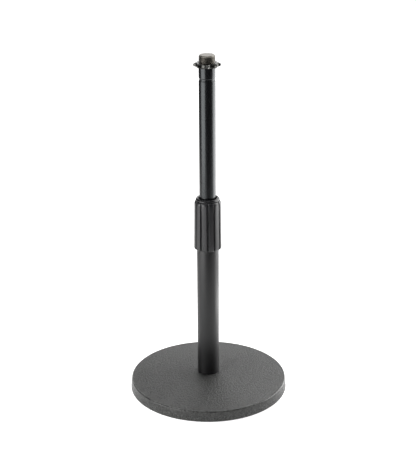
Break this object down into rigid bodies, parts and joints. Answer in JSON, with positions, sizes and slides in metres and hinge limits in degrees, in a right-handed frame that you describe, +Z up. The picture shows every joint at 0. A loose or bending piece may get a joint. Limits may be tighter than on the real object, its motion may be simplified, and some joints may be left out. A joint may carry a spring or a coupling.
{
  "type": "desktop microphone stand",
  "caption": "Desktop microphone stand: weighted round base, telescopic mast with a lobed hand clutch, and a threaded top with a lock ring.",
  "frame": {"origin": "on the floor under the centre of the base, at the bottom centre of the bounding box", "axes": "+Z up along the mast, from the base to the threaded end; -Y is the front"},
  "size_m": [0.1586, 0.1586, 0.345],
  "materials": {
    "base_paint": "fine-textured satin black powder coat on cast iron",
    "foot_rubber": "matt rubber",
    "tube_paint": "satin black powder coat on steel tube",
    "mast_paint": "semi-gloss black on steel tube",
    "core_paint": "satin black on die-cast metal",
    "grip_nylon": "satin moulded nylon",
    "collet_nylon": "natural nylon",
    "bushing_brass": "turned",
    "plain_steel": "turned steel",
    "ring_plating": "dark plated steel"
  },
  "bodies": {
    "base": {"base_casting": "base_paint", "base_foot_1": "foot_rubber", "base_foot_2": "foot_rubber", "base_foot_3": "foot_rubber", "base_foot_4": "foot_rubber", "lower_tube": "tube_paint", "tube_foot_plug": "plain_steel", "clutch_bushing": "bushing_brass"},
    "collet": {"clutch_collet": "collet_nylon"},
    "clutch": {"clutch_core": "core_paint", "clutch_grip": "grip_nylon"},
    "guide": {"mast_guide_ring": "collet_nylon"},
    "mast": {"upper_tube": "mast_paint", "thread_stud": "plain_steel"},
    "ring": {"lock_ring": "ring_plating"}
  },
  "joints": [
    {"name": "mast_height", "type": "slide", "parent": "base", "child": "guide", "axis": [0, 0, -1], "range_m": [0, 0.1]},
    {"name": "mast_turn", "type": "hinge", "parent": "guide", "child": "mast", "pos_m": [0, 0, 0.143], "axis": [0, 0, 1], "continuous": true},
    {"name": "clutch_rise", "type": "slide", "parent": "base", "child": "collet", "axis": [0, 0, 1], "range_m": [0, 0.0015]},
    {"name": "clutch_turn", "type": "hinge", "parent": "collet", "child": "clutch", "pos_m": [0, 0, 0.176], "axis": [0, 0, 1], "range_deg": [0, 360]},
    {"name": "ring_turn", "type": "hinge", "parent": "mast", "child": "ring", "pos_m": [0, 0, 0.3355], "axis": [0, 0, 1], "continuous": true}
  ],
  "couplings": [
    {"joint": "clutch_rise", "follows": "clutch_turn", "m_per_rad": 0.000238}
  ]
}
